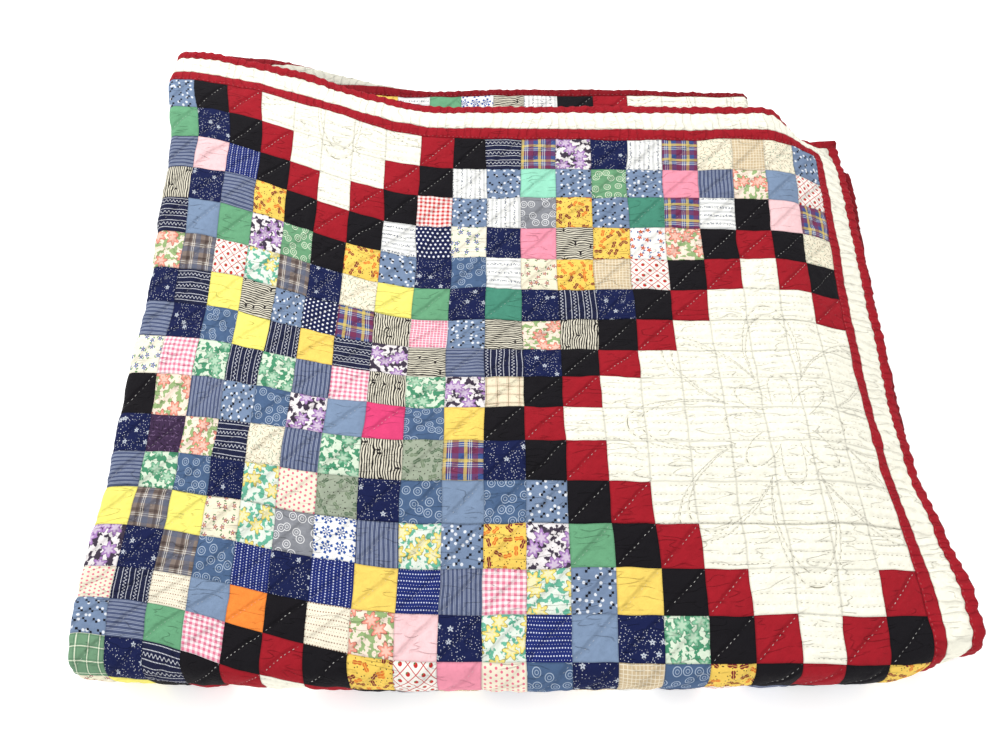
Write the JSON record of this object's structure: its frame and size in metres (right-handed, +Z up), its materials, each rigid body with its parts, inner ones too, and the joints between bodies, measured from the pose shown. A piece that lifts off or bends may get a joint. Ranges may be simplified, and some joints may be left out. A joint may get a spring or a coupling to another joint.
{
  "type": "folded patchwork quilt",
  "caption": "Cotton patchwork quilt of small squares in stepped diamonds, with a striped cream and red border, lying folded in layers.",
  "frame": {"origin": "centre of the bounding box's base, on the surface the quilt rests on", "axes": "+X along the longer side of the folded quilt, toward the open bordered side; +Y from the front roll toward the back edges; +Z up"},
  "size_m": [0.8284, 0.7382, 0.08],
  "materials": {
    "patchwork_field_cloth": "matt woven cotton, hand quilted",
    "binding_top_cloth": "matt woven cotton, hand quilted",
    "binding_bottom_cloth": "matt woven cotton, hand quilted",
    "binding_right_cloth": "matt woven cotton, hand quilted",
    "binding_left_cloth": "matt woven cotton, hand quilted",
    "border_top_cloth": "matt woven cotton, hand quilted",
    "border_bottom_cloth": "matt woven cotton, hand quilted",
    "border_right_cloth": "matt woven cotton, hand quilted",
    "border_left_cloth": "matt woven cotton, hand quilted",
    "inner_strip_top_cloth": "matt woven cotton, hand quilted",
    "inner_strip_bottom_cloth": "matt woven cotton, hand quilted",
    "inner_strip_right_cloth": "matt woven cotton, hand quilted",
    "inner_strip_left_cloth": "matt woven cotton, hand quilted"
  },
  "bodies": {
    "root": {"patchwork_field": "patchwork_field_cloth", "binding_top": "binding_top_cloth", "binding_bottom": "binding_bottom_cloth", "binding_right": "binding_right_cloth", "binding_left": "binding_left_cloth", "border_top": "border_top_cloth", "border_bottom": "border_bottom_cloth", "border_right": "border_right_cloth", "border_left": "border_left_cloth", "inner_strip_top": "inner_strip_top_cloth", "inner_strip_bottom": "inner_strip_bottom_cloth", "inner_strip_right": "inner_strip_right_cloth", "inner_strip_left": "inner_strip_left_cloth"}
  },
  "joints": []
}
